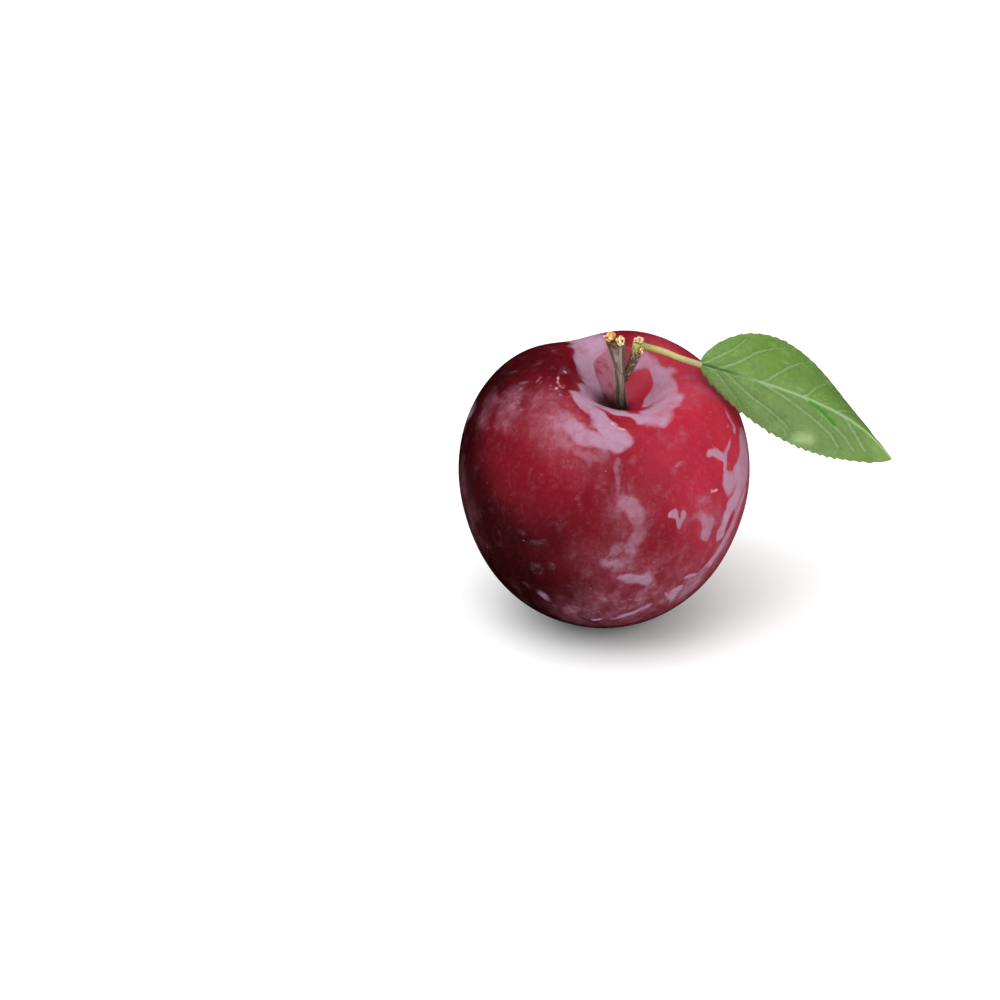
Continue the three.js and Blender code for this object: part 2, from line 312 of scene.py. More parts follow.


# Every stroke below is its places as turn and drop, its half width, all in degrees, and its strength.
# Where the wax bloom still sits, thick and unrubbed, and on the lower rim painted light bounced up from the
# floor
bloomStrokes = [
    # down the suture and over the back rim
    ([(112, 27), (107, 38), (104, 52)], 7.5, 1.0),
    ([(117, 28), (121, 21), (131, 15), (142, 9.5), (155, 5)], 4.6, 1.0),
    # the front lip of the cavity and the ring on the leaf side
    ([(155, 5), (-150, 13), (-112, 18), (-89, 20), (-81, 25), (-68, 28)], 3.4, 1.0),
    ([(56, 19), (40, 21), (24, 21.2)], 3.4, 1.0),
    ([(20, 21), (4, 21.2), (-15, 21)], 4.3, 1.0),
    ([(10, 17), (-4, 15.6), (-18, 14.4)], 2.8, 1.0),
    ([(-25, 22.5), (-43, 25), (-56, 29)], 6.0, 1.0),
    # the patch in front of it
    ([(-138, 18), (-114, 25), (-100, 30), (-90, 35), (-84, 38)], 4.0, 0.9),
    ([(-120, 36), (-104, 38), (-90, 40)], 3.6, 0.8),
    ([(-128, 34), (-116, 41), (-100, 43)], 4.5, 0.5),
    # the leaf side, from the shoulder down towards the foot
    ([(-38, 52), (-31, 55), (-27, 58)], 2.0, 0.95),
    ([(-1, 47.5), (-6, 51), (-9, 55.5)], 1.5, 0.7),
    ([(-11, 55.8), (-17, 55.6), (-24, 55.6), (-28, 58.5), (-29, 63)], 1.3, 0.95),
    ([(-4, 64), (-9, 69), (-13, 74)], 5.6, 1.0),
    ([(-14, 68), (-22, 69), (-29, 67.5)], 4.8, 1.0),
    ([(-19, 72), (-24, 75), (-28, 78)], 5.4, 1.0),
    ([(-28, 79), (-34, 81), (-36, 84)], 3.0, 1.0),
    ([(-36, 84), (-36, 90)], 2.8, 0.95),
    # bloom with painted light bounced up from the floor on the pale lower rim
    ([(-18, 81), (-26, 88), (-32, 96), (-39, 104)], 3.0, 0.78),
    ([(-44, 109), (-54, 118)], 5.0, 0.5),
    ([(4, 80), (2, 94)], 5.0, 0.75),
    # loose scraps on the front
    ([(-63.5, 69), (-61, 74.5)], 2.0, 1.1),
    ([(-58, 70.3), (-61, 74.5)], 2.0, 1.1),
    ([(-53, 73.4), (-47, 76)], 1.9, 0.6),
    ([(-47, 76), (-45, 79), (-46.5, 86)], 2.0, 0.72),
    ([(-49.5, 69.2), (-43.5, 69.7)], 2.4, 0.42),
    ([(-88, 47), (-88, 55), (-85, 61)], 1.7, 0.48),
    ([(-84, 62), (-78, 69.5)], 3.3, 0.56),
    ([(-77.5, 74), (-81, 80)], 4.2, 0.46),
    ([(-82.5, 82.5), (-87, 89)], 6.0, 0.56),
    ([(-82, 98.5), (-74, 98.8)], 3.2, 0.8),
    ([(-55, 110), (-57, 117)], 1.8, 0.9),
    ([(-61, 111), (-58, 114)], 1.2, 0.8),
    ([(-53, 105), (-45, 104.5), (-38, 102)], 1.3, 0.85),
    ([(-94, 129), (-86, 128), (-78, 124), (-68, 119)], 1.7, 0.9),
    ([(-119, 114.5), (-115, 118)], 2.0, 0.65),
    # the far side
    ([(174, 62), (164, 70), (158, 72)], 5.0, 0.6),
    ([(150, 84), (136, 92), (128, 104)], 8.0, 0.66),
    ([(104, 54), (98, 68), (112, 80)], 9.0, 0.9),
    ([(112, 80), (98, 92)], 6.0, 0.75),
    ([(72, 58), (62, 66), (66, 76)], 7.0, 0.8),
    ([(66, 76), (50, 92), (34, 98)], 9.0, 0.7),
    ([(30, 62), (22, 72)], 6.0, 0.7),
    ([(84, 112), (104, 118)], 6.0, 0.6),
    ([(22, 112), (6, 106)], 7.0, 0.62),
]
# Rubbed places inside the bloom
rubbedStrokes = [
    ([(58, 13), (42, 15), (26, 13)], 4.6, 1.0),
    ([(98, 18), (94, 12), (80, 7)], 4.6, 1.0),
    ([(-125, 29), (-118, 30)], 3.4, 1.0),
    ([(-94, 26), (-78, 30)], 2.6, 0.8),
    ([(-16, 58.2), (-20, 60), (-25.5, 63.5)], 2.5, 1.0),
    ([(100, 74), (106, 76)], 3.0, 0.9),
    ([(52, 84), (44, 90)], 3.5, 0.8),
]
# The thin veil that stays where the fruit was handled, with a painted highlight on the upper front and
# painted light from the floor on the lower rim
hazeStrokes = [
    # the upper front: haze that is partly a painted highlight
    ([(-140, 34), (-124, 40)], 8.0, 0.42),
    ([(104, 23), (94, 15), (98, 9)], 4.4, 1.6),
    ([(-166, 42), (-155, 47)], 4.6, 0.55),
    ([(-176, 50), (-170, 56)], 3.5, 0.3),
    ([(-108, 46), (-98, 48)], 8.0, 0.2),
    ([(-84, 62), (-82, 76), (-88, 92)], 8.0, 0.36),
    ([(-98, 86), (-92, 96), (-84, 106)], 7.0, 0.3),
    ([(-68, 96), (-46, 98)], 10.0, 0.34),
    ([(-88, 114), (-60, 112), (-36, 104)], 12.0, 0.46),
    ([(-96, 126), (-70, 126)], 13.0, 0.44),
    ([(-52, 72), (-40, 78), (-40, 90)], 8.0, 0.3),
    ([(50, 27), (56, 35), (60, 44)], 7.0, 0.2),
    ([(-2, 36), (8, 42)], 4.0, 0.5),
    # painted light bounced up from the floor on the lower rim
    ([(-12, 84), (-24, 94), (-36, 108), (-52, 121)], 7.0, 0.7),
    ([(-18, 70), (-10, 80)], 8.0, 0.45),
    ([(-58, 38), (-50, 42)], 3.0, 0.22),
    ([(20, 30), (-20, 30)], 5.0, 0.3),
    ([(136, 74), (100, 84), (60, 84), (30, 90)], 14.0, 0.45),
    ([(-172, 100), (150, 112), (90, 120), (24, 118)], 16.0, 0.34),
]
# Pink grazes
grazeStrokes = [
    ([(168, 18), (-176, 18)], 0.8, 0.75),
    ([(-176, 21), (-160, 24)], 0.8, 0.7),
    ([(-153, 25), (-151, 26)], 0.9, 0.9),
    ([(-42, 66), (-38, 66)], 0.9, 0.85),
    ([(-128, 40), (-120, 46)], 0.8, 0.5),
    ([(-80, 111), (-74, 114)], 1.2, 0.6),
    ([(-12, 80), (-14, 92)], 1.1, 0.6),
    ([(-92, 31), (-82, 34)], 0.9, 0.7),
]
# Areas of scraps too small to lay one by one, between two turns and two drops
scrapAreas = [
    {"turn": (-98, -34), "drop": (100, 128), "count": 40, "widest": 1.4, "strength": 0.52, "seed": 51},
    {"turn": (-176, -130), "drop": (18, 48), "count": 60, "widest": 0.7, "strength": 0.6, "seed": 52},
    {"turn": (-60, -4), "drop": (44, 92), "count": 40, "widest": 0.8, "strength": 0.6, "seed": 53},
    {"turn": (0, 180), "drop": (50, 125), "count": 160, "widest": 1.6, "strength": 0.75, "seed": 54},
]


# Short strokes strewn over an area, each with its own place, end and width
def strewn(area):
    draw = np.random.default_rng(area["seed"])
    turns = draw.uniform(*area["turn"], area["count"])
    drops = draw.uniform(*area["drop"], area["count"])
    ends = draw.normal(0, 1.3, (area["count"], 2))
    widths = area["widest"] * draw.uniform(0.25, 1, area["count"]) ** 1.5
    return [
        ([(turn, drop), (turn + end[0], drop + end[1])], width, area["strength"])
        for turn, drop, end, width in zip(turns, drops, ends, widths)
    ]


skinLook = {
    "deep": colour("#2b0306"),
    "middle": colour("#74081a"),
    "bright": colour("#ac2238"),
    "pitShade": colour("#1c0305"),
    "bloom": colour("#a5839b"),
    "haze": colour("#95596a"),
    "graze": colour("#e0a0a4"),
    "dots": colour("#d88a8a"),
    # where the skin is brightest: the plum's own blush, and painted shade on the far side
    "brightAwayFromPaintedShade": direction(-8, 56),
    # a painted highlight, a painted shade and a brighter red in the cavity: where, how far round it in
    # degrees, and how much
    "blushAndPaintedLight": [((-137, 50), 37, 0.42), ((176, 34), 28, -0.3), ((42, 14), 9, 0.3)],
    "fraying": ((26, 0.014, 41), (62, 0.003, 42)),  # pace, reach and seed of what bends the strokes
    # painted shade in the cavity about the stalk's foot:
    "pitShadeDrop": (3.5, 10.5),  # the dark ring about the stalk's foot, degrees from the stem axis
    "pitShadeStrength": 0.92,
    "thickStroke": 0.8,  # bloom strokes stronger than this have crisp edges
    "thickReach": 1.7,  # out to this many half widths
    "edgeSoftness": {"rubbed": 0.3, "haze": 0.9, "graze": 0.6},
    # noises: lumps to the metre, detail, roughness and distortion
    "patches": (260, 4, 0.6, 0.4),
    "crumbs": (1500, 3, 0.6),
    "mottle": (120, 4, 0.55),
    "grains": (800, 6, 0.75),
    "wipes": (520, 4, 0.6, 0.3),
    "clouds": (210, 4, 0.6, 0.2),
    "pores": (2600, 2, 0.5),
    "wipedDown": (1, 1, 0.3),
    # strengths, and S curves: from which value to which, then from what share to what if not 0 to 1
    "mottling": 0.5,
    "deepToMiddle": (-0.35, 0.85),
    "middleToBright": (0.6, 1.35),
    "dotsPerMetre": 420.0,
    "dotSize": (0.09, 0.03),
    "dotChosen": (0.55, 0.9),
    "dotStrength": 0.45,
    "hazeInPatches": (0.25, 0.7, 0.35, 1.1),
    "hazeInWipes": (0.35, 0.66, 0.6, 1.35),
    "hazeInGrains": (0.35, 0.65, 0.75, 1.2),
    "dustInGrains": (0.44, 0.68),
    "dustInWipes": (0.4, 0.66, 0.03, 0.26),
    "dustByRipeAndPaintedLight": (0.0, 0.9, 0.25, 1.0),
    "raggedness": (0.0, 1.0, 1.9, 1.15),
    "crumbling": 0.5,
    "crispEdge": (0.24, 0.56),
    "softEdge": (0.1, 0.8),
    "bloomThickness": (0.35, 1.0, 0.3, 0.88),
    "bloomInClouds": (0.3, 0.62, 0.62, 1.0),
    "bloomInGrains": (0.3, 0.55, 0.86, 1.0),
    "grazeCrumbling": 1.6,
    "grazeEdge": (0.45, 0.8, 0.0, 0.6),
    "roughness": 0.3,
    "bloomRoughness": 0.58,
    "poreHeight": 0.35,
    "bloomHeight": 0.5,
    "bump": (0.35, 0.00012),  # strength, and depth in metres
}


# The skin's grid, leaned and set down on its flat foot: heights below the foot are drawn up to it
# along a hyperbola. The layers of its look are worked out on the same grid: ripeness falls off from
# the brightest direction, with painted shade on the far side, and has a painted highlight, a painted
# shade and a brighter red in the cavity added, and the strokes are laid on frayed directions.
def makeFruit():
    even = np.linspace(0, np.pi, plumBody["down"] + 1)
    polar = (even - plumBody["rowsDrawnUp"] * np.sin(even))[:, None]
    turn = np.linspace(-np.pi, np.pi, plumBody["around"], endpoint=False)[None, :]
    turn = turn - plumBody["columnsDrawnFront"] * np.sin(turn - np.radians(plumBody["densestTurn"]))
    polar, turn = np.broadcast_arrays(polar, turn)
    points = leaned(plumSkin(polar, turn))
    low = points[..., 2].min() + plumBody["footDepth"]
    above = points[..., 2] - low
    points[..., 2] = low + 0.5 * (above + np.hypot(above, plumBody["footSoftness"]))
    corners = points.reshape(-1, 3)
    middle = inBox("fruit", (0.5, 0.5, 0.5)) - (corners.min(0) + corners.max(0)) / 2
    points = points + middle
    mesh = skinOfRings("plum_fruit", points[1:-1], points[0, 0], points[-1, 0])

    towards = np.stack([np.sin(polar) * np.cos(turn), np.sin(polar) * np.sin(turn), np.cos(polar)], axis=-1)
    # own blush, darkened away from the brightest direction as painted shade
    ripeAndPaintedLight = towards @ skinLook["brightAwayFromPaintedShade"]
    # a painted highlight, a painted shade and a brighter red in the cavity, raised into the ripeness
    for place, reach, amount in skinLook["blushAndPaintedLight"]:
        ripeAndPaintedLight = ripeAndPaintedLight + amount * easeBetween(np.cos(np.radians(reach)), 1, towards @ direction(*place))
    for pace, reach, seed in skinLook["fraying"]:
        towards = towards + reach * swirl(towards, pace, seed)
    scraps = [stroke for area in scrapAreas for stroke in strewn(area)]
    softness = skinLook["edgeSoftness"]
    bloom = laid(bloomStrokes + scraps, towards) * (1 - laid(rubbedStrokes, towards, softness["rubbed"]))
    thickStrokes = [
        (places, skinLook["thickReach"] * width, 1)
        for places, width, strength in bloomStrokes if strength > skinLook["thickStroke"]
    ]
    firm = laid(thickStrokes, towards)
    haze = laid(hazeStrokes, towards, softness["haze"])
    graze = laid(grazeStrokes, towards, softness["graze"])
    # painted shade in the cavity about the stalk's foot
    pitShade = skinLook["pitShadeStrength"] * (1 - easeBetween(*skinLook["pitShadeDrop"], np.degrees(polar)))
    layers = {"bloom": bloom, "firm": firm, "haze": haze, "graze": graze, "ripeAndPaintedLight": ripeAndPaintedLight, "pitShade": pitShade}
    for name, values in layers.items():
        addAttribute(mesh, name, np.concatenate([values[1:-1].ravel(), [values[0, 0], values[-1, 0]]]))
    return mesh, middle


# The skin goes from deep to middle to bright with its ripeness and the light and shade painted into
# it. Dots, haze, bloom, grazes and the painted shade ring in the cavity are then blended over it one
# after another, each by its own share.
def fruitMaterial():
    material, tree, shader, place = newMaterial("plum_skin")
    names = ("patches", "crumbs", "mottle", "grains", "clouds", "pores")
    patches, crumbs, mottle, grains, clouds, pores = [noiseOf(tree, place, *skinLook[name]) for name in names]
    wipes = noiseOf(tree, drawnOut(tree, place, skinLook["wipedDown"]), *skinLook["wipes"])

    # ripeness carries the painted shade of the dark side and the painted highlight
    ripeAndPaintedLight = sumOf(tree, attributeOf(tree, "ripeAndPaintedLight"), timesOf(tree, mottle, skinLook["mottling"]))
    skin = tinted(tree, skinLook["deep"], ripeAndPaintedLight, skinLook, "deepToMiddle", "middle")
    skin = tinted(tree, skin, ripeAndPaintedLight, skinLook, "middleToBright", "bright")

    # pale breathing dots, one in every cell, and only some of them
    cells = {"Vector": place, "Scale": skinLook["dotsPerMetre"], "Randomness": 1.0}
    dots = addNode(tree, "TexVoronoi", cells)
    dot = eased(tree, dots.outputs["Distance"], *skinLook["dotSize"])
    chosen = addNode(tree, "SeparateColor", {0: dots.outputs["Color"]}).outputs[0]
    dot = fadedBy(tree, dot, chosen, skinLook["dotChosen"])
    skin = blended(tree, timesOf(tree, dot, skinLook["dotStrength"]), skin, skinLook["dots"])

    # the haze, in soft clouds wiped downwards, and a little dust of it everywhere
    haze = fadedBy(tree, attributeOf(tree, "haze"), patches, skinLook["hazeInPatches"])
    haze = fadedBy(tree, haze, wipes, skinLook["hazeInWipes"])
    haze = fadedBy(tree, haze, grains, skinLook["hazeInGrains"])
    dust = eased(tree, grains, *skinLook["dustInGrains"])
    dust = fadedBy(tree, dust, wipes, skinLook["dustInWipes"])
    dust = fadedBy(tree, dust, ripeAndPaintedLight, skinLook["dustByRipeAndPaintedLight"])
    skin = blended(tree, sumOf(tree, haze, dust), skin, skinLook["haze"])

    # the bloom: its strength plus two noises, cut at a level, gives rubbed ragged edges, which are
    # crisp about the thick strokes and soft about the thin ones
    bloom = attributeOf(tree, "bloom")
    firm = attributeOf(tree, "firm")
    level = sumOf(tree, bloom, swingOf(tree, patches, eased(tree, firm, *skinLook["raggedness"])))
    level = sumOf(tree, level, swingOf(tree, crumbs, skinLook["crumbling"]))
    crisp = eased(tree, level, *skinLook["crispEdge"])
    soft = eased(tree, level, *skinLook["softEdge"])
    cover = addNode(tree, "Mix", {0: firm, 2: soft, 3: crisp}, data_type="FLOAT").outputs[0]
    thick = fadedBy(tree, cover, bloom, skinLook["bloomThickness"])
    thick = fadedBy(tree, thick, clouds, skinLook["bloomInClouds"])
    thick = fadedBy(tree, thick, grains, skinLook["bloomInGrains"])
    skin = blended(tree, thick, skin, skinLook["bloom"])

    graze = sumOf(tree, attributeOf(tree, "graze"), swingOf(tree, crumbs, skinLook["grazeCrumbling"]))
    skin = tinted(tree, skin, graze, skinLook, "grazeEdge", "graze")
    # the painted shade in the cavity about the stalk's foot
    skin = blended(tree, attributeOf(tree, "pitShade"), skin, skinLook["pitShade"])

    rough = eased(tree, cover, 0.0, 1.0, skinLook["roughness"], skinLook["bloomRoughness"])
    poreHeight = timesOf(tree, pores, skinLook["poreHeight"])
    height = sumOf(tree, poreHeight, timesOf(tree, cover, skinLook["bloomHeight"]))
    bump = bumpOf(tree, height, *skinLook["bump"])
    wireShader(
        tree, shader,
        {"Base Color": skin, "Roughness": rough, "Normal": bump},
        {
            "IOR": 1.4,
            "Specular IOR Level": 0.22,
            "Subsurface Weight": 0.1,
            "Subsurface Radius": (1.0, 0.25, 0.18),
            "Subsurface Scale": 0.0012,
        },
    )
    return material


# Stalk, side shoot and petiole are rods. Their paths are shares of the node's box, and their radii,
# in millimetres, go by the share of the length.
stalkRod = {
    "node": "stalk",
    "path": [
        (0.78, 0.5, -0.16), (0.68, 0.5, 0.2), (0.67, 0.5, 0.47), (0.54, 0.5, 0.775), (0.43, 0.5, 0.985),
    ],
    "radius": lambda share: 1.03 + 0.77 * share ** 4 + 0.15 * share,
    "reference": (1, 0, 0),
    "ridges": 0.12,
    "ridgePace": 8,
    "alongPace": 6,
    "steps": 150,
    "around": 72,
    "seed": 11,
}
shootRod = {
    "node": "side_shoot",
    "path": [(-0.26, 0.444, -0.2), (0.32, 0.444, 0.384), (0.54, 0.5, 0.72), (0.681, 0.5, 0.99)],
    "radius": lambda share: 0.5 + 0.52 * share ** 0.45,
    "reference": (1, 0, 0),
    "ridges": 0.1,
    "ridgePace": 7,
    "alongPace": 9,
    "steps": 90,
    "around": 56,
    "seed": 12,
}
petioleRod = {
    "node": "petiole",
    "path": [(-0.06, 0.2, 0.93), (0.333, 0.329, 0.68), (0.66, 0.489, 0.37), (1.04, 0.76, 0.04)],
    "radius": lambda share: 0.62 + 0.06 * np.abs(share - 0.45) + 0.25 * np.exp(-(share / 0.06) ** 2),
    "reference": (0, 0, 1),
    "ridges": 0.03,
    "ridgePace": 5,
    "alongPace": 6,
    "steps": 110,
    "around": 48,
    "seed": 13,
}
rodEnds = {"rounding": 0.02, "flattest": 0.985}  # share of the length, and how far the end draws in


# A smooth curve through points: each span is the cubic whose end slopes are the half steps
# between its neighbours. Sampled evenly by length.
def curveThrough(points, count):
    padded = np.concatenate([[2 * points[0] - points[1]], points, [2 * points[-1] - points[-2]]])
    t = np.linspace(0, 1, 60)[:, None]  # sixty samples to a span
    spans = []
    for a, b, c, d in zip(padded, padded[1:], padded[2:], padded[3:]):
        slopeIn, slopeOut = (c - a) / 2, (d - b) / 2
        spans.append(
            (2 * t ** 3 - 3 * t ** 2 + 1) * b + (t ** 3 - 2 * t ** 2 + t) * slopeIn
            + (3 * t ** 2 - 2 * t ** 3) * c + (t ** 3 - t ** 2) * slopeOut
        )
    dense = np.concatenate(spans)
    length = lengthAlong(dense)
    even = np.linspace(0, length[-1], count)
    return np.stack([np.interp(even, length, dense[:, k]) for k in range(3)], axis=-1)


# Rings carried along the curve. A ring's radius is the rod's own radius there times one plus its
# ridges, and at both ends it draws in along a circle.
def makeRod(name, rod):
    share = np.linspace(0, 1, rod["steps"])
    line = curveThrough(inBox(rod["node"], rod["path"]), rod["steps"])
    tangent = unit(np.gradient(line, axis=0))
    sideways = unit(np.cross(tangent, rod["reference"]))[:, None]
    outward = np.cross(sideways[:, 0], tangent)[:, None]
    angle = np.linspace(0, 2 * np.pi, rod["around"], endpoint=False)
    rough = ripples(angle[None, :], share[:, None], rod["ridgePace"], rod["alongPace"], 14, rod["seed"])
    radius = rod["radius"](share)[:, None] * (1 + rod["ridges"] * rough)
    ending = 1 - np.minimum(share, 1 - share) / rodEnds["rounding"]
    radius = radius * np.sqrt(1 - np.clip(ending, 0, rodEnds["flattest"]) ** 2)[:, None]
    angle = angle[None, :, None]
    rings = line[:, None] + radius[..., None] * (np.cos(angle) * sideways + np.sin(angle) * outward)
    mesh = skinOfRings(name, rings, line[0], line[-1])
    addAttribute(mesh, "share", np.concatenate([np.repeat(share, rod["around"]), [0, 1]]))
    addAttribute(mesh, "ridge", np.concatenate([rough.ravel(), [0, 0]]))
    return mesh


barkLook = {
    "foot": colour("#1d120e"),
    "dark": colour("#64554a"),
    "light": colour("#9f9080"),
    "end": colour("#5a3d22"),
    "fibres": (1900, 5, 0.65),
    "flecks": (1300, 3, 0.6),
    "drawnOut": (1, 1, 0.14),
    "ridgeShows": 0.09,
    "fleckShows": 0.25,
    "darkToLight": (0.38, 0.66),
    # painted shade on the foot down in the cavity
    "footShadeUpTo": (0.66, 0.24),
    "endFrom": (1.0, 1.12),
    "darkFlecks": (0.62, 0.7, 0.0, 0.6),
    "bump": (0.6, 0.00025),
    "roughness": 0.8,
}


# Dark to light along drawn-out fibres and on the ridges, darker to the foot as painted shade
# where it sinks into the cavity, browner at the end
def barkMaterial():
    material, tree, shader, place = newMaterial("stalk_bark")
    fibres = noiseOf(tree, drawnOut(tree, place, barkLook["drawnOut"]), *barkLook["fibres"])
    flecks = noiseOf(tree, place, *barkLook["flecks"])
    pale = sumOf(tree, fibres, timesOf(tree, attributeOf(tree, "ridge"), barkLook["ridgeShows"]))
    share = sumOf(tree, attributeOf(tree, "share"), timesOf(tree, flecks, barkLook["fleckShows"]))
    bark = tinted(tree, barkLook["dark"], pale, barkLook, "darkToLight", "light")
    # painted shade on the foot down in the cavity
    bark = tinted(tree, bark, share, barkLook, "footShadeUpTo", "foot")
    bark = tinted(tree, bark, share, barkLook, "endFrom", "end")
    bark = tinted(tree, bark, flecks, barkLook, "darkFlecks", "foot")
    bump = bumpOf(tree, sumOf(tree, fibres, flecks), *barkLook["bump"])
    values = {"Roughness": barkLook["roughness"], "Specular IOR Level": 0.3}
    wireShader(tree, shader, {"Base Color": bark, "Normal": bump}, values)
    return material


shootLook = {
    "foot": colour("#5a4636"),
    "green": colour("#a5a252"),
    "dots": colour("#cdb79a"),
    "spot": colour("#3a1c12"),
    "grain": (1700, 4, 0.6),
    "grainShows": 0.35,
    "greenFrom": (0.68, 0.92),
    "paleDots": (0.54, 0.66, 0.0, 0.75),
    "darkSpots": (0.4, 0.32, 0.0, 0.8),
    "bump": (0.6, 0.00025),
    "roughness": 0.72,
}


# Brown at the foot and green at the end, pale where a grain is high and dark where it is low
def shootMaterial():
    material, tree, shader, place = newMaterial("shoot_bark")
    grain = noiseOf(tree, place, *shootLook["grain"])
    share = sumOf(tree, attributeOf(tree, "share"), swingOf(tree, grain, shootLook["grainShows"]))
    bark = tinted(tree, shootLook["foot"], share, shootLook, "greenFrom", "green")
    bark = tinted(tree, bark, grain, shootLook, "paleDots", "dots")
    bark = tinted(tree, bark, grain, shootLook, "darkSpots", "spot")
    bump = bumpOf(tree, grain, *shootLook["bump"])
    values = {"Roughness": shootLook["roughness"], "Specular IOR Level": 0.3}
    wireShader(tree, shader, {"Base Color": bark, "Normal": bump}, values)
    return material


petioleLook = {
    "foot": colour("#8a9448"),
    "middle": colour("#b3b070"),
    "end": colour("#a89a76"),
    "shade": colour("#7d7a45"),
    "streaks": (2200, 4, 0.6),
    "drawnOut": (0.12, 1, 1),
    "footToMiddle": (0.0, 0.4),
    "middleToEnd": (0.55, 1.0),
    "shadeStreaks": (0.5, 0.7, 0.0, 0.6),
    "bump": (0.3, 0.00015),
    "roughness": 0.5,
}


# Foot to middle to end by the share of the length, with drawn-out streaks in the shade colour
def petioleMaterial():
    material, tree, shader, place = newMaterial("petiole_skin")
    streaks = noiseOf(tree, drawnOut(tree, place, petioleLook["drawnOut"]), *petioleLook["streaks"])
    share = attributeOf(tree, "share")
    skin = tinted(tree, petioleLook["foot"], share, petioleLook, "footToMiddle", "middle")
    skin = tinted(tree, skin, share, petioleLook, "middleToEnd", "end")
    skin = tinted(tree, skin, streaks, petioleLook, "shadeStreaks", "shade")
    bump = bumpOf(tree, streaks, *petioleLook["bump"])
    values = {
        "Roughness": petioleLook["roughness"],
        "Specular IOR Level": 0.4,
        "Subsurface Weight": 0.1,
        "Subsurface Scale": 0.0006,
    }
    wireShader(tree, shader, {"Base Color": skin, "Normal": bump}, values)
    return material


# Torn scales on the ends of the stalk and the shoot: shift in millimetres, grow as a share of the box
scaleLumps = {
    "tip_scale_left": {
        "colour": "#cf8b3d", "pale": "#f1cf94", "dark": "#4d2c12", "torn": 0.24, "seed": 21,
        "shift": (0, -0.2, -0.35), "grow": (1.15, 1.2, 1.25),
    },
    "tip_scale_right": {
        "colour": "#dcb877", "pale": "#f6e3b4", "dark": "#5a3716", "torn": 0.24, "seed": 22,
        "shift": (-0.15, 0.1, -1.0), "grow": (0.95, 1.0, 1.5),
    },
    "shoot_scale": {
        "colour": "#d5b184", "pale": "#f0cdb9", "dark": "#8a7a3c", "torn": 0.2, "seed": 23,
        "shift": (0.1, 0, -0.2), "grow": (1.1, 1.1, 1.1),
    },
    "petiole_scale": {
        "colour": "#c08a5c", "pale": "#f0d3ac", "dark": "#4a2413", "torn": 0.2, "seed": 24,
        "shift": (-0.35, 0.1, 0.4), "grow": (1.3, 1.3, 1.4),
    },
}


scaleSkin = {
    "down": 42,
    "around": 64,
    "tearing": {"paceA": 5, "paceB": 4, "waves": 12},
    "grain": (1500, 4, 0.65),
    "ridgeShows": 0.12,
    "paleFrom": (0.48, 0.66),
    "darkFrom": (0.46, 0.34),
    "bump": (0.7, 0.0003),
    "roughness": 0.75,
}


# A ball stretched to the node's box, its radius one plus waves round it and down it
def makeScale(name, node, lump):
    polar = np.linspace(0, np.pi, scaleSkin["down"])[:, None]
    turn = np.linspace(0, 2 * np.pi, scaleSkin["around"], endpoint=False)[None, :]
    rough = ripples(turn, polar, seed=lump["seed"], **scaleSkin["tearing"]) * np.sin(polar)
    ball = np.stack([
        np.sin(polar) * np.cos(turn),
        np.sin(polar) * np.sin(turn),
        np.cos(polar) + np.zeros_like(turn),
    ], axis=-1)
    middle = inBox(node, (0.5, 0.5, 0.5))
    half = (inBox(node, (1, 1, 1)) - middle) * lump["grow"]
    points = middle + lump["shift"] + (1 + lump["torn"] * rough)[..., None] * ball * half
    mesh = skinOfRings(name, points[1:-1], points[0, 0], points[-1, 0])
    addAttribute(mesh, "ridge", np.concatenate([rough[1:-1].ravel(), [0, 0]]))
    return mesh


# The lump's own colour, pale where grain and ridges are high and dark where they are low
def scaleMaterial(name, lump):
    material, tree, shader, place = newMaterial(name)
    grain = noiseOf(tree, place, *scaleSkin["grain"])
    level = sumOf(tree, grain, timesOf(tree, attributeOf(tree, "ridge"), scaleSkin["ridgeShows"]))
    palish = eased(tree, level, *scaleSkin["paleFrom"])
    skin = blended(tree, palish, colour(lump["colour"]), colour(lump["pale"]))
    skin = blended(tree, eased(tree, level, *scaleSkin["darkFrom"]), skin, colour(lump["dark"]))
    bump = bumpOf(tree, grain, *scaleSkin["bump"])
    wireShader(tree, shader, {"Base Color": skin, "Normal": bump}, {"Roughness": scaleSkin["roughness"]})
    return material


# The leaf, in millimetres. The midrib is in shares of the node's box, and folds are in radians.
leafBlade = {
    "midrib": [(0.0, 0.465, 0.825), (0.559, 0.208, 0.614), (0.821, 0.225, 0.425), (0.995, 0.064, 0.033)],
    "faces": (0, -0.87, 0.5),  # where its upper side looks
    "back": {"width": 12.6, "basePower": 0.67, "tipPower": 0.78, "foldAtBase": 0.17, "foldAtTip": 1.7},
    "front": {"width": 9.4, "basePower": 0.85, "tipPower": 0.68, "foldAtBase": 0.4, "foldAtTip": 0},
    "atPetiole": 0.6,
    "atTip": 0.3,
    "foldPower": 1.5,
    "thickness": 0.42,
    "along": 320,
    "across": 120,
    "teeth": 24,
    "toothFront": 0.64,
    "toothBack": 0.4,
    "toothSlope": 1.3,
    "toothDrop": 0.22,
    "quilting": 0.22,
    "quiltWidth": 1.6,
    "veinDepth": 0.14,
    "ribWidth": 0.4,
    "veinWidth": 0.3,
    "veinFading": 0.25,
    "waving": 0.25,
    "thinAtRim": 0.35,
    "ribBelow": 0.4,
    "ribBelowWidth": 0.5,
}
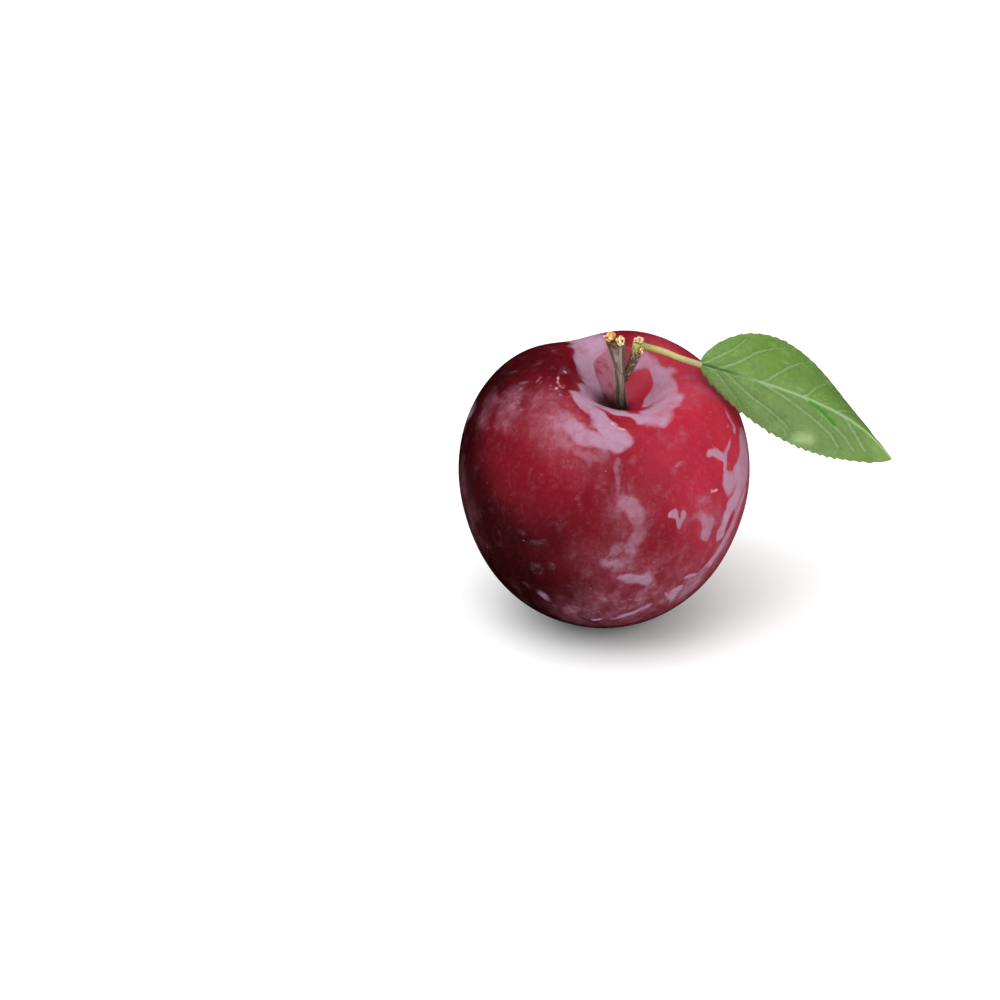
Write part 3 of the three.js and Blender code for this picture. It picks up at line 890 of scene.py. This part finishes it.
# Side veins: where each leaves the midrib and where it goes, as share of the length and of the side
leafVeins = [
    [(0.0, 0.0), (0.05, 0.32), (0.13, 0.62), (0.17, 0.86)],
    [(0.08, 0.0), (0.17, 0.29), (0.23, 0.57), (0.30, 0.74), (0.37, 0.88)],
    [(0.29, 0.0), (0.32, 0.10), (0.39, 0.49), (0.47, 0.85)],
    [(0.49, 0.0), (0.51, 0.08), (0.535, 0.36), (0.585, 0.73), (0.64, 0.88)],
    [(0.66, 0.0), (0.70, 0.30), (0.76, 0.70)],
    [(0.80, 0.0), (0.84, 0.35), (0.88, 0.6)],
    [(0.03, 0.0), (0.10, -0.35), (0.17, -0.66), (0.24, -0.86)],
    [(0.11, 0.0), (0.18, -0.28), (0.27, -0.47), (0.37, -0.56), (0.47, -0.70), (0.54, -0.88)],
    [(0.28, 0.0), (0.43, -0.16), (0.60, -0.37), (0.69, -0.50), (0.76, -0.72)],
    [(0.50, 0.0), (0.62, -0.20), (0.76, -0.42), (0.84, -0.66)],
    [(0.70, 0.0), (0.80, -0.25), (0.88, -0.5)],
]
# A green scratch and a pale spot, placed the same way
leafStreak = [(0.53, -0.05), (0.60, -0.13), (0.68, -0.26)]
leafSpot = [(0.55, -0.86), (0.6, -0.78)]


# The cubic curve of its four points, measured by its length: places and directions at its shares
def midribAt(share):
    a, b, c, d = inBox("leaf", leafBlade["midrib"])
    t = np.linspace(0, 1, 600)[:, None]
    line = (1 - t) ** 3 * a + 3 * (1 - t) ** 2 * t * b + 3 * (1 - t) * t ** 2 * c + t ** 3 * d
    slope = (1 - t) ** 2 * (b - a) + 2 * (1 - t) * t * (c - b) + t ** 2 * (d - c)
    length = lengthAlong(line)
    length = length / length[-1]
    place = np.stack([np.interp(share, length, line[:, k]) for k in range(3)], axis=-1)
    return place, unit(np.stack([np.interp(share, length, slope[:, k]) for k in range(3)], axis=-1))


# Half width: a lopsided arch, share to a power times what is left to a power, plus a narrow strip
def halfWidth(share, half):
    peak = half["basePower"] / (half["basePower"] + half["tipPower"])
    arch = share ** half["basePower"] * (1 - share) ** half["tipPower"]
    top = peak ** half["basePower"] * (1 - peak) ** half["tipPower"]
    strip = leafBlade["atPetiole"] + (leafBlade["atTip"] - leafBlade["atPetiole"]) * share
    return strip + half["width"] * arch / top


# A saw along the edge: each tooth rises as a power of the way along it and drops over its last
# part, and two sine waves of its number give it its own size
def toothAt(share, side):
    phase = share * leafBlade["teeth"] + np.where(side > 0, 0.4, 0)
    number = np.floor(phase)
    way = phase - number
    saw = way ** leafBlade["toothSlope"] * np.clip((1 - way) / leafBlade["toothDrop"], 0, 1)
    size = 0.75 + 0.35 * np.sin(number * 2.4 + np.sign(side)) * np.sin(number * 0.9)
    return saw * size * np.where(side > 0, leafBlade["toothBack"], leafBlade["toothFront"])


# Middle surface of the blade: the midrib's place, plus the side times the half width across it,
# less the fold's part of that half width, which grows as a power of the side
def bladeAt(share, side):
    place, tangent = midribAt(share)
    across = unit(np.cross(leafBlade["faces"], tangent))
    facing = np.cross(tangent, across)
    back, front = leafBlade["back"], leafBlade["front"]
    reach = np.where(side > 0, halfWidth(share, back), halfWidth(share, front))
    reach = reach + toothAt(share, side) * np.abs(side) ** 8 * easeBetween(0, 0.04, 1 - share)
    foldBack = back["foldAtBase"] + (back["foldAtTip"] - back["foldAtBase"]) * share
    foldFront = front["foldAtBase"] + (front["foldAtTip"] - front["foldAtBase"]) * share
    fold = np.where(side > 0, foldBack, foldFront)
    out = (side * reach * np.cos(fold))[..., None] * across
    down = (reach * np.sin(fold) * np.abs(side) ** leafBlade["foldPower"])[..., None] * facing
    return place + out - down


# Nearest distance to a line drawn on the blade, in millimetres
def distanceTo(points, stops):
    shares, sides = np.array(stops).T
    finer = np.linspace(0, 1, 4 * len(stops))
    step = np.linspace(0, 1, len(stops))
    return nearestTo(points, bladeAt(np.interp(finer, step, shares), np.interp(finer, step, sides)))


# A ridge along a line: one on it, falling off in a bell of the given width
def bell(distance, width):
    return np.exp(-(distance / width) ** 2)


# Two sheets, one on each side of the middle surface, joined by a rim. Veins are sunk in the upper
# sheet and stand out of the lower one, and the blade between them swells.
def makeLeaf():
    share = np.linspace(0, 1, leafBlade["along"])[:, None]
    side = np.sin(np.linspace(-1, 1, leafBlade["across"]) * np.pi / 2)[None, :]
    share, side = np.broadcast_arrays(share, side)
    points = bladeAt(share, side)
    normal = unit(np.cross(np.gradient(points, axis=0), np.gradient(points, axis=1)))
    if normal[len(normal) // 2, 0] @ leafBlade["faces"] < 0:
        normal = -normal
    rib = distanceTo(points, [(0, 0), (0.5, 0), (1, 0)])
    vein = np.full(rib.shape, np.inf)
    for stops in leafVeins:
        fading = leafBlade["veinFading"] * easeBetween(0.3, 1, np.abs(stops[-1][1] * side))
        vein = np.minimum(vein, distanceTo(points, stops) + fading)
    streak = distanceTo(points, leafStreak)
    spot = distanceTo(points, leafSpot)
    edge = 1 - np.abs(side) ** 6
    quilt = leafBlade["quilting"] * (1 - bell(np.minimum(rib * 0.8, vein), leafBlade["quiltWidth"])) * edge
    sunk = bell(rib, leafBlade["ribWidth"]) + 0.7 * bell(vein, leafBlade["veinWidth"])
    sunk = leafBlade["veinDepth"] * sunk * edge
    waves = leafBlade["waving"] * ripples(share * 6, side * 3, 3, 1, 8, seed=31) * side ** 2 * edge
    lift = (quilt - sunk + waves)[..., None] * normal
    thin = leafBlade["thinAtRim"]
    half = (leafBlade["thickness"] / 2 * (thin + (1 - thin) * edge))[..., None] * normal
    ribUnder = leafBlade["ribBelow"] * bell(rib, leafBlade["ribBelowWidth"]) * (1 - 0.7 * share)
    under = (ribUnder + 0.5 * sunk)[..., None] * normal
    top = points + lift + half
    bottom = points + lift - half - under

    rows, columns = share.shape
    ids = np.arange(rows * columns).reshape(rows, columns)
    topQuads = np.stack([ids[:-1, :-1], ids[1:, :-1], ids[1:, 1:], ids[:-1, 1:]], axis=-1)
    topQuads = topQuads.reshape(-1, 4)
    edgeLoop = np.concatenate([ids[0, :-1], ids[:-1, -1], ids[-1, :0:-1], ids[:0:-1, 0]])
    nextLoop = np.roll(edgeLoop, -1)
    count = rows * columns
    rim = np.stack([edgeLoop, nextLoop, nextLoop + count, edgeLoop + count], axis=-1)
    quads = np.concatenate([topQuads, topQuads[:, ::-1] + count, rim])
    allPoints = np.concatenate([top.reshape(-1, 3), bottom.reshape(-1, 3)])
    mesh = closedMesh("leaf_blade", allPoints, quads, np.zeros((0, 3), int))
    layers = {"share": share, "side": side, "rib": rib, "vein": vein, "streak": streak, "spot": spot}
    for name, values in layers.items():
        addAttribute(mesh, name, np.tile(values.ravel(), 2))
    addAttribute(mesh, "upper", np.repeat([1, 0], count))
    return mesh


leafLook = {
    "green": colour("#5c8030"),
    "dull": colour("#668345"),
    "fresh": colour("#6f8c33"),
    "dark": colour("#4b6c26"),
    "pale": colour("#87a35c"),
    "vein": colour("#8aa674"),
    "ribFoot": colour("#35571f"),
    "streak": colour("#3f7f12"),
    "spot": colour("#b3c68c"),
    "under": colour("#8fae7e"),
    # noises, and S curves over lengths, sides, noises and distances in millimetres
    "cloud": (130, 4, 0.55),
    "grain": (1500, 3, 0.6),
    "mottle": (420, 4, 0.6, 0.5),
    "dullFrom": (0.35, -0.5),
    "freshFrom": (0.72, 1.0),
    "darkMottle": (0.5, 0.72, 0.0, 0.35),
    "paleMottle": (0.48, 0.3, 0.0, 0.3),
    "netPerMetre": 620.0,
    "netLine": (0.1, 0.02),
    "netInClouds": (0.35, 0.65, 0.05, 0.24),
    "veinValleyShade": (1.1, 0.3, 0.0, 0.3),
    "veinLine": (0.42, 0.05),
    "veinInMottle": (0.35, 0.6, 0.3, 0.62),
    "ribLine": (0.36, 0.12),
    "ribPalesFrom": (0.1, 0.34),
    "spotEdge": (4.6, 1.2),
    "streakEdge": (0.5, 0.18),
    "upperEdge": (0.4, 0.6, 0.75, 0.0),
    "bump": (0.45, 0.00015),
    "roughness": 0.5,
}


# Greens first: fuller on the back half, duller on the front half, fresher to the tip. Then the net
# of small veins, the side veins, the midrib, the spot and the streak, each blended over by its
# distance, and last the paler underside.
def leafMaterial():
    material, tree, shader, place = newMaterial("leaf_skin")
    cloud = noiseOf(tree, place, *leafLook["cloud"])
    grain = noiseOf(tree, place, *leafLook["grain"])
    mottle = noiseOf(tree, place, *leafLook["mottle"])
    share = attributeOf(tree, "share")
    vein = attributeOf(tree, "vein")
    side = sumOf(tree, attributeOf(tree, "side"), swingOf(tree, cloud, 1.4))
    skin = tinted(tree, leafLook["green"], side, leafLook, "dullFrom", "dull")
    tip = sumOf(tree, share, swingOf(tree, cloud, 0.5))
    skin = tinted(tree, skin, tip, leafLook, "freshFrom", "fresh")
    skin = tinted(tree, skin, mottle, leafLook, "darkMottle", "dark")
    skin = tinted(tree, skin, mottle, leafLook, "paleMottle", "pale")

    bend = timesOf(tree, grain, 0.0004)
    bent = addNode(tree, "VectorMath", {0: place, 1: bend}, operation="ADD").outputs[0]
    cells = {"Vector": bent, "Scale": leafLook["netPerMetre"]}
    net = addNode(tree, "TexVoronoi", cells, feature="DISTANCE_TO_EDGE").outputs[0]
    netLine = eased(tree, net, *leafLook["netLine"])
    netShare = fadedBy(tree, netLine, cloud, leafLook["netInClouds"])
    skin = blended(tree, netShare, skin, leafLook["vein"])

    # a painted shade in the valley each side of a vein, and a pale blurred line down its middle that
    # comes and goes
    skin = tinted(tree, skin, vein, leafLook, "veinValleyShade", "dark")
    veinLine = eased(tree, sumOf(tree, vein, swingOf(tree, grain, 0.5)), *leafLook["veinLine"])
    veinLine = fadedBy(tree, veinLine, mottle, leafLook["veinInMottle"])
    skin = blended(tree, veinLine, skin, leafLook["vein"])
    ribColour = tinted(tree, leafLook["ribFoot"], share, leafLook, "ribPalesFrom", "vein")
    ribLine = eased(tree, attributeOf(tree, "rib"), *leafLook["ribLine"])
    skin = blended(tree, timesOf(tree, ribLine, 0.85), skin, ribColour)

    spot = sumOf(tree, attributeOf(tree, "spot"), timesOf(tree, cloud, 4.0))
    spot = timesOf(tree, eased(tree, spot, *leafLook["spotEdge"]), 0.55)
    skin = blended(tree, spot, skin, leafLook["spot"])
    streak = sumOf(tree, attributeOf(tree, "streak"), swingOf(tree, grain, 0.5))
    streak = timesOf(tree, eased(tree, streak, *leafLook["streakEdge"]), 0.9)
    skin = blended(tree, streak, skin, leafLook["streak"])
    skin = tinted(tree, skin, attributeOf(tree, "upper"), leafLook, "upperEdge", "under")
    height = sumOf(tree, timesOf(tree, netLine, -0.6), timesOf(tree, grain, 0.3))
    wireShader(
        tree, shader,
        {"Base Color": skin, "Normal": bumpOf(tree, height, *leafLook["bump"])},
        {
            "Roughness": leafLook["roughness"],
            "Specular IOR Level": 0.35,
            "Subsurface Weight": 0.15,
            "Subsurface Radius": (0.5, 1.0, 0.2),
            "Subsurface Scale": 0.0006,
        },
    )
    return material


# Every piece, in place of its node
fruitMesh, fruitMiddle = makeFruit()
finishPiece(fruitMesh, fruitMaterial(), "fruit")
finishPiece(makeRod("woody_stalk", stalkRod), barkMaterial(), "stalk")
finishPiece(makeRod("short_shoot", shootRod), shootMaterial(), "side_shoot")
finishPiece(makeRod("leaf_stalk", petioleRod), petioleMaterial(), "petiole")
for node, lump in scaleLumps.items():
    finishPiece(makeScale("torn_" + node, node, lump), scaleMaterial("torn_" + node, lump), node)
finishPiece(makeLeaf(), leafMaterial(), "leaf")

# Floor, light and camera, in metres where nothing else is said
studio = {
    "floorSide": 8.0,
    "floor": colour("#fbfbfb"),
    "world": 0.9,
    "lights": {
        "key": {"from": (-0.5, -0.3, 0.9), "size": 0.9, "power": 5.0},
        "fill": {"from": (0.9, -0.7, 0.6), "size": 0.9, "power": 2.7},
        "top": {"from": (-0.05, -0.25, 1.2), "size": 1.0, "power": 4.6},
    },
    "cameraAway": 1.2,
    "cameraDown": 30,  # degrees
    "lookOff": (-21.74, -1.87, -3.24),  # mm from the fruit's middle, so the fruit stands to the right
    "frameWidth": 0.2069,
    "sensor": 36,  # mm
}


# One square at height zero, its corners half a side out, matt
def makeFloor():
    half = studio["floorSide"] / 2
    mesh = bpy.data.meshes.new("floor")
    corners = [(-half, -half, 0), (half, -half, 0), (half, half, 0), (-half, half, 0)]
    mesh.from_pydata(corners, [], [(0, 1, 2, 3)])
    material, tree, shader, _ = newMaterial("pale_floor")
    values = {"Base Color": studio["floor"], "Roughness": 0.9, "Specular IOR Level": 0.0}
    wireShader(tree, shader, {}, values)
    mesh.materials.append(material)
    floor = bpy.data.objects.new("floor", mesh)
    bpy.context.scene.collection.objects.link(floor)
    floor.visible_glossy = False


# Put at a place and turned so that its back axis points away from the target
def aim(thing, place, target):
    thing.location = place
    thing.rotation_euler = (Vector(target) - Vector(place)).to_track_quat("-Z", "Y").to_euler()


# Square lamps, each at the target plus where it comes from, and an even white surround
def makeLights(target):
    for name, lamp in studio["lights"].items():
        light = bpy.data.lights.new(name, "AREA")
        light.size = lamp["size"]
        light.energy = lamp["power"]
        thing = bpy.data.objects.new(name, light)
        aim(thing, Vector(target) + Vector(lamp["from"]), target)
        bpy.context.scene.collection.objects.link(thing)
    world = bpy.data.worlds.new("studio")
    world.use_nodes = True
    background = world.node_tree.nodes["Background"]
    background.inputs["Strength"].default_value = studio["world"]
    background.inputs["Color"].default_value = (1, 1, 1, 1)
    world.cycles_visibility.glossy = False
    bpy.context.scene.world = world


# The lens is the sensor's width times the distance over the width to be seen at that distance
def makeCamera(middle):
    data = bpy.data.cameras.new("camera")
    data.sensor_width = studio["sensor"]
    data.lens = data.sensor_width * studio["cameraAway"] / studio["frameWidth"]
    camera = bpy.data.objects.new("camera", data)
    bpy.context.scene.collection.objects.link(camera)
    down = np.radians(studio["cameraDown"])
    target = (middle + np.array(studio["lookOff"])) * mm
    aim(camera, target + studio["cameraAway"] * np.array([0, -np.cos(down), np.sin(down)]), target)
    bpy.context.scene.camera = camera


makeFloor()
makeLights(fruitMiddle * mm)
makeCamera(fruitMiddle)
bpy.context.scene.view_settings.view_transform = "Standard"
print("studio ready")
